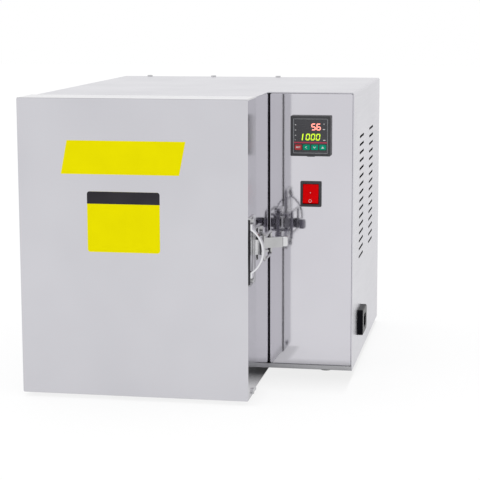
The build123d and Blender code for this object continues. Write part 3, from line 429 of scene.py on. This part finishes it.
# the keeper's front edge and upright bars carry painted dark reflections
KEEPER_STEEL = sheet_steel(
    "keeper_steel", ((0.52, 0.52, 0.53), (0.64, 0.64, 0.65)), *FITTING_FINISH, 0.04,
    wave_size=60.0, mask=keeper_dark_reflections, shade_and_print_tones=((0.02, 0.02, 0.023), (0.04, 0.04, 0.044)),
)
BOW_STEEL = sheet_steel(
    "bow_steel", ((0.70, 0.70, 0.72), (0.79, 0.79, 0.81)), (0.08, 0.16), (300, 300, 60), 0.05,
)
FRAME_LINE = moulded("frame_line", ((0.24, 0.25, 0.27), (0.30, 0.31, 0.33)), (0.3, 0.4))
MARK = moulded("white_mark", ((0.62, 0.62, 0.62), (0.72, 0.72, 0.72)), (0.4, 0.5))
RED_LINE = moulded("red_line", ((0.45, 0.012, 0.05), (0.52, 0.02, 0.08)), (0.35, 0.45))
RED_DIGIT = glowing("red_digit", (1.0, 0.30, 0.24), 1.5)
GREEN_DIGIT = glowing("green_digit", (0.55, 0.80, 0.01), 0.9)

SLOT_MATERIALS = {
    "polished_steel": PANEL_STEEL,
    "plain_steel": sheet_steel(
        "plain_steel", ((0.52, 0.52, 0.54), (0.62, 0.62, 0.64)), (0.35, 0.5), (300, 12, 300), 0.06,
    ),
    "bright_steel": sheet_steel("bright_steel", STEEL_TONES, *FITTING_FINISH, 0.05),
    "plated_steel": sheet_steel(
        "screw_steel", ((0.56, 0.56, 0.57), (0.66, 0.66, 0.67)), (0.2, 0.32), (400, 400, 400), 0.06,
    ),
    # the knob's rear faces carry painted shade
    "knob_steel": sheet_steel(
        "knob_steel", ((0.64, 0.64, 0.65), (0.74, 0.74, 0.75)), (0.03, 0.06), (300, 300, 300), 0.01,
        mask=rear_face_shade, shade_and_print_tones=REAR_SHADE_TONES,
    ),
    "probe_steel": sheet_steel(
        "probe_steel", ((0.22, 0.20, 0.19), (0.38, 0.35, 0.33)), (0.35, 0.55), (300, 60, 300), 0.1,
    ),
    "element_wire": sheet_steel(
        "element_wire", ((0.16, 0.14, 0.13), (0.28, 0.25, 0.23)), (0.5, 0.7), (600, 600, 600), 0.2,
    ),
    "raw_aluminium": sheet_steel(
        "sink_aluminium", ((0.62, 0.63, 0.65), (0.72, 0.73, 0.75)), (0.3, 0.42), (600, 20, 600), 0.1,
    ),
    "brass_blades": sheet_steel(
        "brass_blades", ((0.62, 0.46, 0.20), (0.78, 0.60, 0.30)), (0.2, 0.35), (300, 60, 300), 0.08,
    ),
    "plated_pins": sheet_steel(
        "plated_pins", ((0.72, 0.70, 0.66), (0.86, 0.84, 0.80)), (0.15, 0.28), (60, 300, 300), 0.05,
    ),
    "fibre_board": mineral("fibre_board", ((0.70, 0.67, 0.60), (0.84, 0.81, 0.75))),
    "shelf_ceramic": mineral(
        "kiln_shelf", ((0.52, 0.45, 0.36), (0.70, 0.63, 0.53)),
        fibre=(160, 160, 160), strength=0.7, speck=500.0,
    ),
    "grey_rope": mineral(
        "glass_rope", ((0.020, 0.019, 0.020), (0.07, 0.067, 0.066)),
        fibre=(900, 900, 900), strength=0.8, speck=1800.0,
    ),
    "white_ceramic": moulded("porcelain", ((0.78, 0.77, 0.73), (0.86, 0.85, 0.81)), (0.12, 0.25), coat=0.6),
    "black_rubber": moulded(
        "foot_rubber", ((0.018, 0.018, 0.018), (0.032, 0.032, 0.032)), (0.6, 0.8), strength=0.2,
    ),
    "black_plastic": moulded(
        "black_plastic", ((0.026, 0.026, 0.030), (0.038, 0.038, 0.044)), (0.34, 0.46),
    ),
    "inlet_plastic": moulded(
        "inlet_plastic", ((0.004, 0.004, 0.006), (0.008, 0.008, 0.011)), (0.22, 0.32), shine=0.04,
    ),
    "grey_plastic": moulded("grey_plastic", ((0.16, 0.165, 0.17), (0.21, 0.215, 0.22)), (0.4, 0.55)),
    "white_plastic": moulded("relay_plastic", ((0.68, 0.66, 0.60), (0.76, 0.74, 0.68)), (0.4, 0.55)),
    "dark_window": moulded(
        "dark_window", ((0.022, 0.022, 0.028), (0.032, 0.032, 0.040)), (0.22, 0.30),
        strength=0.02, coat=0.2,
    ),
    "circuit_board": moulded("circuit_board", ((0.01, 0.07, 0.03), (0.015, 0.10, 0.045)), (0.3, 0.45)),
    "yellow_film": moulded(
        "plate_film", ((0.82, 0.74, 0.0), (0.85, 0.77, 0.0)), (0.32, 0.42),
        size=400.0, strength=0.02, shine=0.02,
        mask=plate_head, shade_and_print_tones=((0.030, 0.028, 0.034), (0.040, 0.038, 0.044)),
    ),
    # the rocker's rims carry painted shade from the recess
    "red_plastic": moulded(
        "red_plastic", ((0.73, 0.0, 0.001), (0.81, 0.0, 0.002)), (0.22, 0.30),
        strength=0.03, shine=0.03,
        mask=rocker_rim_shade, shade_and_print_tones=((0.06, 0.004, 0.006), (0.09, 0.006, 0.009)),
    ),
    "red_button": moulded(
        "red_key", ((0.42, 0.015, 0.02), (0.52, 0.025, 0.03)), (0.3, 0.42), strength=0.05,
    ),
    "green_button": moulded(
        "green_key", ((0.0, 0.27, 0.15), (0.0, 0.34, 0.20)), (0.3, 0.42), strength=0.05, shine=0.1,
    ),
}
# nodes whose material isn't their slot's
NODE_MATERIALS = {
    "outer_shell": SHELL_STEEL,
    "back_panel": BACK_STEEL,
    "door_shell": DOOR_STEEL,
    "divider_wall": WALL_STEEL,
    "pull_handle": BOW_STEEL,
    "latch_keeper": KEEPER_STEEL,
    "latch_bracket": LATCH_STEEL,
    "latch_lever": LATCH_STEEL,
    "latch_bail": LATCH_STEEL,
    "latch_pin": LATCH_STEEL,
}
node_slots = {part["node"]: part["material_slot"] for part in frame["record"]["subparts"]}
for node, node_object in frame["nodes"].items():
    material = NODE_MATERIALS.get(node) or SLOT_MATERIALS[node_slots[node]]
    node_object.data.materials.clear()
    node_object.data.materials.append(material)


# ---------------------------------------------------------------- floor
FLOOR_HALF = 8.0
# share of plain white in the floor that direct rays see; the rest keeps the shadow
FLOOR_WHITE = 0.75
# strength of that white, which brings the open floor up to white
FLOOR_GLOW = 1.11
# the shade lies just above the floor
SHADE_LIFT = 0.6 * MM
# under the body the shade starts this far before the control panel and is full at the second distance
SHADE_START, SHADE_FULL = 85.0 * MM, 2.0 * MM
SHADE_DEPTH = 0.95
# beside the door it is weaker, and fades between these distances from the door's free edge
SIDE_START, SIDE_END = 8.0 * MM, 14.0 * MM
SIDE_DEPTH = 0.20


def lay_sheet(name, material, low, high, z):
    """Flat sheet, not attached to any body, from its low to its high corner."""
    corners = [(low[0], low[1], z), (high[0], low[1], z), (high[0], high[1], z), (low[0], high[1], z)]
    mesh = bpy.data.meshes.new(name)
    mesh.from_pydata(corners, [], [(0, 1, 2, 3)])
    mesh.materials.append(material)
    sheet = bpy.data.objects.new(name, mesh)
    bpy.context.collection.objects.link(sheet)
    return sheet


def make_floor():
    m = Nodes("floor")
    m.set(Roughness=0.9)
    m.paint(m.noise(detail=2.0, size=0.5), ((0.63, 0.63, 0.635), (0.65, 0.65, 0.655)))
    glow = m.add("ShaderNodeEmission", Color=WHITE, Strength=FLOOR_GLOW)
    white = m.math("MULTIPLY", direct_rays(m.tree), FLOOR_WHITE)
    m.show_mix(white, m.shader.outputs[0], glow.outputs[0])
    lay_sheet("floor", m.material, (-FLOOR_HALF, -FLOOR_HALF), (FLOOR_HALF, FLOOR_HALF), 0.0)


def make_shade():
    """Soft shadow under the body and before the bay, which the sheets mirror but the camera doesn't see."""
    shell_low, shell_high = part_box("outer_shell")
    door_low, door_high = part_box("door_shell")
    panel_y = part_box("control_panel")[0][1]
    free_edge = door_high[0]
    m = Nodes("floor_shade")
    m.set(Roughness=1.0)
    m.paint(m.noise(detail=2.0, size=5.0), ((0.02, 0.02, 0.025), (0.03, 0.03, 0.035)))
    place = m.place()
    under = m.range(place["Y"], 0.0, SHADE_DEPTH, panel_y - SHADE_START, panel_y - SHADE_FULL)
    beside = m.range(place["X"], SIDE_DEPTH, 0.0, free_edge + SIDE_START, free_edge + SIDE_END)
    clear = m.add("ShaderNodeBsdfTransparent")
    m.show_mix(m.math("MAXIMUM", under, beside), clear.outputs[0], m.shader.outputs[0])
    low, high = (shell_low[0], door_low[1]), (shell_high[0], shell_high[1])
    shade = lay_sheet("floor_shade", m.material, low, high, SHADE_LIFT)
    shade.visible_camera = False


make_floor()
make_shade()


# ---------------------------------------------------------------- mesh helpers
def piece(name, bm, material, body, smooth=False):
    """New visible piece that rides on a body."""
    mesh = bpy.data.meshes.new(name)
    bmesh.ops.recalc_face_normals(bm, faces=bm.faces)
    bm.to_mesh(mesh)
    bm.free()
    mesh.materials.append(material)
    if smooth:
        mesh.shade_smooth()
    made = bpy.data.objects.new(name, mesh)
    bpy.context.collection.objects.link(made)
    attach(made, body)
    return made


def add_prism(bm, front, back):
    """Solid between two rings of corners."""
    front = [bm.verts.new(corner) for corner in front]
    back = [bm.verts.new(corner) for corner in back]
    bm.faces.new(front)
    bm.faces.new(list(reversed(back)))
    for i in range(len(front)):
        j = (i + 1) % len(front)
        bm.faces.new([front[i], back[i], back[j], front[j]])


def add_plate(bm, outline, y_front, thickness):
    """Flat plate facing -Y from an (x, z) outline."""
    front = [(x, y_front, z) for x, z in outline]
    back = [(x, y_front + thickness, z) for x, z in outline]
    add_prism(bm, front, back)


def oblong(left, right, start, end):
    """Corners of an upright rectangle, from its start edge to its end edge."""
    return [(left, start), (right, start), (right, end), (left, end)]


# ---------------------------------------------------------------- controller face
# sizes in this section are in mm, across and down from the bezel's top left corner
FACE_SIZE = 48.0
BEZEL_LOW, BEZEL_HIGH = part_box("controller_bezel")
WINDOW_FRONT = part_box("controller_window")[0][1]
# thickness of the digits and the red line, the frame line and the small marks, in metres
DIGIT_FILM = 0.06 * MM
FRAME_FILM = 0.08 * MM
MARK_FILM = 0.05 * MM
# key marks stand before the key and reach into it
KEY_LIFT = 0.05 * MM
KEY_DEPTH = 0.09 * MM
DIGIT_PITCH = 6.1
SEGMENT_GAP = 0.1
SEGMENTS = {"0": "abcdef", "1": "ij", "5": "afgcd", "6": "afgecd"}


def add_film(bm, outline, thickness):
    """Flat mark on the window's face."""
    points = [(BEZEL_LOW[0] + x * MM, BEZEL_HIGH[2] - down * MM) for x, down in outline]
    add_plate(bm, points, WINDOW_FRONT - thickness, thickness)


def add_digit(bm, char, left, top, width, height, slant, bar):
    """Seven-segment digit with bars of one width; slant shifts the top to the right."""
    half = height / 2
    cut = bar / 2
    gap = SEGMENT_GAP
    # the digit 1 has its own two bars, between these
    one_left, one_right = 1.6, 2.9
    shapes = {
        "a": [(cut, 0), (width - cut, 0), (width - bar, bar), (bar, bar)],
        "d": [(bar, height - bar), (width - bar, height - bar), (width - cut, height), (cut, height)],
        "g": [
            (cut, half),
            (bar, half - cut),
            (width - bar, half - cut),
            (width - cut, half),
            (width - bar, half + cut),
            (bar, half + cut),
        ],
        "f": [(0, cut), (bar, bar + gap), (bar, half - cut - gap), (0, half - gap)],
        "e": [(0, half + gap), (bar, half + cut + gap), (bar, height - bar - gap), (0, height - cut)],
        "i": [(one_left, 0.3), (one_right, 0), (one_right, half - gap), (one_left, half - gap)],
        "j": oblong(one_left, one_right, half + gap, height),
        "b": [
            (width, cut),
            (width, half - gap),
            (width - bar, half - cut - gap),
            (width - bar, bar + gap),
        ],
        "c": [
            (width, half + gap),
            (width, height - cut),
            (width - bar, height - bar - gap),
            (width - bar, half + cut + gap),
        ],
    }
    for segment in SEGMENTS[char]:
        outline = [(left + x + slant * (height - down), top + down) for x, down in shapes[segment]]
        add_film(bm, outline, DIGIT_FILM)


def make_digits(name, text, material, left, top, width, height, slant, bar):
    bm = bmesh.new()
    for index, char in enumerate(text):
        add_digit(bm, char, left + index * DIGIT_PITCH, top, width, height, slant, bar)
    piece(name, bm, material, "cabinet")


def make_film(name, outlines, material, thickness):
    bm = bmesh.new()
    for outline in outlines:
        add_film(bm, outline, thickness)
    piece(name, bm, material, "cabinet")


make_digits("measured_digits", "56", RED_DIGIT, 24.8, 9.1, 5.2, 8.0, 0.03, 1.15)
make_digits("target_digits", "1000", GREEN_DIGIT, 11.8, 21.2, 4.9, 7.9, 0.12, 1.2)

# outer and inner edge of the frame line, at the low and at the high side
LINE_LOW = (3.3, 4.1)
LINE_HIGH = (FACE_SIZE - 4.1, FACE_SIZE - 3.3)
make_film(
    "face_frame_line",
    [
        oblong(LINE_LOW[0], LINE_HIGH[1], *LINE_LOW),
        oblong(LINE_LOW[0], LINE_HIGH[1], *LINE_HIGH),
        oblong(*LINE_LOW, LINE_LOW[1], LINE_HIGH[0]),
        oblong(*LINE_HIGH, LINE_LOW[1], LINE_HIGH[0]),
    ],
    FRAME_LINE, FRAME_FILM,
)
make_film("face_red_line", [oblong(4.3, 43.7, 31.1, 32.5)], RED_LINE, DIGIT_FILM)

# left edge, top and width of each small mark
FACE_MARKS = (
    (5.3, 10.4, 1.5),
    (5.3, 16.6, 1.5),
    (5.3, 22.8, 1.5),
    (5.3, 28.2, 0.7),
    (39.4, 9.2, 1.3),
    (38.6, 15.6, 2.6),
    (39.0, 28.4, 2.8),
)
MARK_HEIGHT = 0.9
make_film(
    "face_marks",
    [oblong(x, x + wide, down, down + MARK_HEIGHT) for x, down, wide in FACE_MARKS],
    MARK, MARK_FILM,
)

# mm across and up from the key's middle
KEY_SHAPES = {
    "set": [
        oblong(-2.4, -0.9, -0.9, 0.9),
        oblong(-0.5, 0.6, -0.9, 0.9),
        oblong(1.0, 2.5, 0.3, 0.9),
        oblong(1.5, 2.0, -0.9, 0.3),
    ],
    "shift": [[(-1.6, 0), (0.4, 1.6), (1.0, 1.3), (-0.5, 0), (1.0, -1.3), (0.4, -1.6)]],
    "down": [[(0, -1.5), (-1.7, 0.7), (-1.2, 1.2), (0, -0.4), (1.2, 1.2), (1.7, 0.7)]],
    "up": [[(0, 1.6), (-1.8, -1.2), (1.8, -1.2)]],
}


def make_key_mark(key, shapes):
    button = key + "_button"
    low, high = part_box(button)
    x, z = (low[0] + high[0]) / 2, (low[2] + high[2]) / 2
    bm = bmesh.new()
    for shape in shapes:
        outline = [(x + across * MM, z + up * MM) for across, up in shape]
        add_plate(bm, outline, low[1] - KEY_LIFT, KEY_DEPTH)
    piece(key + "_mark", bm, MARK, button + "_body")


for key, shapes in KEY_SHAPES.items():
    make_key_mark(key, shapes)


# ---------------------------------------------------------------- rocker marks
INLAY_LIFT = 0.05 * MM
RING_SIDES = 24
# the two radii of the ring mark and its middle, in mm as add_inlay takes them
RING_INNER, RING_OUTER = 1.5, 1.9
RING_X, RING_DOWN = -0.4, 23.5


def face_y(node, x, z):
    """Where a line along +Y through (x, z) meets the node."""
    target = frame["nodes"][node]
    inverse = target.matrix_world.inverted()
    start = inverse @ Vector((x, -1.0, z))
    heading = (inverse.to_3x3() @ Vector((0, 1, 0))).normalized()
    hit, place, _, _ = target.ray_cast(start, heading)
    assert hit, "no face of " + node + " at this place"
    return (target.matrix_world @ place).y


def add_inlay(bm, outline):
    """Mark that follows the rocker's face, in mm across and down from the switch's top middle."""
    low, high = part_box("switch_body")
    middle, top = (low[0] + high[0]) / 2, high[2]
    points = [(middle + x * MM, top - down * MM) for x, down in outline]
    front = [(x, face_y("switch_rocker", x, z) - INLAY_LIFT, z) for x, z in points]
    back = [(x, y + 2 * INLAY_LIFT, z) for x, y, z in front]
    add_prism(bm, front, back)


def make_rocker_marks():
    bm = bmesh.new()
    add_inlay(bm, oblong(-0.7, -0.2, 13.2, 14.6))
    for step in range(RING_SIDES):
        a, b = (2 * math.pi * k / RING_SIDES for k in (step, step + 1))
        corners = (RING_OUTER, a), (RING_OUTER, b), (RING_INNER, b), (RING_INNER, a)
        add_inlay(bm, [(RING_X + r * math.cos(t), RING_DOWN + r * math.sin(t)) for r, t in corners])
    piece("rocker_marks", bm, MARK, "rocker")


make_rocker_marks()


# ---------------------------------------------------------------- swept forms
def evenly(points, step, closed=False):
    """Points along a polyline at an even step."""
    line = list(points) + ([points[0]] if closed else [])
    lengths = [(b - a).length for a, b in zip(line, line[1:])]
    total = sum(lengths)
    count = max(2, round(total / step))
    out = []
    index, passed = 0, 0.0
    for k in range(count if closed else count + 1):
        goal = total * k / count
        while index < len(lengths) - 1 and passed + lengths[index] < goal:
            passed += lengths[index]
            index += 1
        share = min(1.0, (goal - passed) / lengths[index])
        out.append(line[index].lerp(line[index + 1], share))
    return out


def add_ring(bm, point, axis, side, sides, reach):
    """Ring of vertices round a point; reach gives its radius at each turn."""
    ring = []
    for k in range(sides):
        turn = 2 * math.pi * k / sides
        outward = axis * math.cos(turn) + side * math.sin(turn)
        ring.append(bm.verts.new(point + outward * reach(turn)))
    return ring


def join_rings(bm, first, second):
    for k in range(len(first)):
        after = (k + 1) % len(first)
        bm.faces.new([first[k], first[after], second[after], second[k]])


# ---------------------------------------------------------------- twisted rope seal
ROPE_RADIUS = 1.7 * MM
ROPE_CORNER = 4.0 * MM
CORNER_STEPS = 8
ROPE_SIDES = 16
# length of rope from one strand to the next, and steps along it
STRAND_PITCH = 6.8 * MM
STRAND_STEPS = 8
STRANDS = 3
# radius between two strands, as a share of the radius on a strand, and how full the strands are
STRAND_VALLEY = 0.58
STRAND_FULLNESS = 0.6


def rounded(points, radius, steps):
    """Closed outline with its corners rounded."""
    out = []
    count = len(points)
    for i in range(count):
        corner = Vector(points[i])
        before = (Vector(points[i - 1]) - corner).normalized()
        after = (Vector(points[(i + 1) % count]) - corner).normalized()
        reach = radius / math.tan(before.angle(after) / 2)
        start, end = corner + before * reach, corner + after * reach
        for k in range(steps + 1):
            t = k / steps
            out.append((1 - t) ** 2 * start + 2 * t * (1 - t) * corner + t**2 * end)
    return out


def strand_reach(twist):
    """Radius of the strands at each turn, once they are twisted by an angle."""

    def reach(turn):
        crest = abs(math.cos(STRANDS / 2 * (turn - twist))) ** STRAND_FULLNESS
        return ROPE_RADIUS * (STRAND_VALLEY + (1 - STRAND_VALLEY) * crest)

    return reach


def make_rope():
    """Twisted strands in place of the plain seal, flat where they lie on the door."""
    rope_low, rope_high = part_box("rope_seal")
    y = rope_high[1] - ROPE_RADIUS
    left, right = rope_low[0] + ROPE_RADIUS, rope_high[0] - ROPE_RADIUS
    low, high = rope_low[2] + ROPE_RADIUS, rope_high[2] - ROPE_RADIUS
    outline = rounded(oblong(left, right, low, high), ROPE_CORNER, CORNER_STEPS)
    loop = evenly([Vector((x, y, z)) for x, z in outline], STRAND_PITCH / STRAND_STEPS, closed=True)
    count = len(loop)
    length = sum((loop[i] - loop[i - 1]).length for i in range(count))
    twists = round(length / (STRANDS * STRAND_PITCH))
    axis = Vector((0, 1, 0))
    bm = bmesh.new()
    rings = []
    for i, point in enumerate(loop):
        side = (loop[(i + 1) % count] - loop[i - 1]).normalized().cross(axis)
        twist = 2 * math.pi * twists * i / count
        rings.append(add_ring(bm, point, axis, side, ROPE_SIDES, strand_reach(twist)))
    for i in range(count):
        join_rings(bm, rings[i], rings[(i + 1) % count])
    for vertex in bm.verts:
        vertex.co.y = max(vertex.co.y, rope_low[1])
    rope = piece("rope_strands", bm, SLOT_MATERIALS["grey_rope"], "door", smooth=True)
    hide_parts("rope_seal")


make_rope()


# ---------------------------------------------------------------- coiled elements
COIL_RADIUS = 4.0 * MM
COIL_PITCH = 3.4 * MM
COIL_STEPS = 10
WIRE_RADIUS = 0.75 * MM
WIRE_SIDES = 5
LEAD_RADIUS = 2.0 * MM
LEAD_SIDES = 16
RUNS = 6
RUN_PITCH = 24.0 * MM
BEND_STEPS = 12
# the back board's face, and how far the inner bends stay from it
WALL_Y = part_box("back_board")[0][1]
BEND_GAP = 22.0 * MM


def element_path(node):
    """Serpentine centre line of one element, as in the part's source, and the Y of its leads' tips."""
    low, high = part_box(node)
    x = (low[0] + high[0]) / 2
    top = high[2] - COIL_RADIUS
    bend = RUN_PITCH / 2
    front = low[1] + COIL_RADIUS + bend
    back = WALL_Y - BEND_GAP - bend
    points = []
    for run in range(RUNS):
        z = top - run * RUN_PITCH
        rear = WALL_Y if run in (0, RUNS - 1) else back
        start, end = (rear, front) if run % 2 == 0 else (front, rear)
        points += [Vector((x, start, z)), Vector((x, end, z))]
        if run < RUNS - 1:
            way = -1 if run % 2 == 0 else 1
            for k in range(1, BEND_STEPS):
                turn = math.pi * k / BEND_STEPS
                points.append(Vector((x, end + way * math.sin(turn) * bend, z - (1 - math.cos(turn)) * bend)))
    return points, high[1]


def coil_points(path):
    """Helix wound round a path that lies in a plane of constant x."""
    centre = evenly(path, COIL_PITCH / COIL_STEPS)
    across = Vector((1, 0, 0))
    reach = COIL_RADIUS - WIRE_RADIUS
    out = []
    for i, point in enumerate(centre):
        before, after = centre[max(i - 1, 0)], centre[min(i + 1, len(centre) - 1)]
        side = (after - before).normalized().cross(across)
        turn = 2 * math.pi * i / COIL_STEPS
        out.append(point + (across * math.cos(turn) + side * math.sin(turn)) * reach)
    return out


def wire_sweep(bm, points, radius, sides):
    """Tube along any path, its rings carried on without twist."""
    normal = Vector((1, 0, 0))
    last = None
    for i, point in enumerate(points):
        before, after = points[max(i - 1, 0)], points[min(i + 1, len(points) - 1)]
        along = (after - before).normalized()
        normal = (normal - along * normal.dot(along)).normalized()
        ring = add_ring(bm, point, normal, along.cross(normal), sides, lambda turn: radius)
        if last:
            join_rings(bm, last, ring)
        else:
            bm.faces.new(ring)
        last = ring
    bm.faces.new(list(reversed(last)))


def make_coil(node):
    """Wound wire with straight leads in place of one plain element."""
    path, tip = element_path(node)
    bm = bmesh.new()
    wire_sweep(bm, coil_points(path), WIRE_RADIUS, WIRE_SIDES)
    for end in (path[0], path[-1]):
        wire_sweep(bm, [end, Vector((end.x, tip, end.z))], LEAD_RADIUS, LEAD_SIDES)
    wire = SLOT_MATERIALS["element_wire"]
    coil = piece(node.replace("element", "coil"), bm, wire, "cabinet", smooth=True)
    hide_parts(node)


make_coil("left_element")
make_coil("right_element")
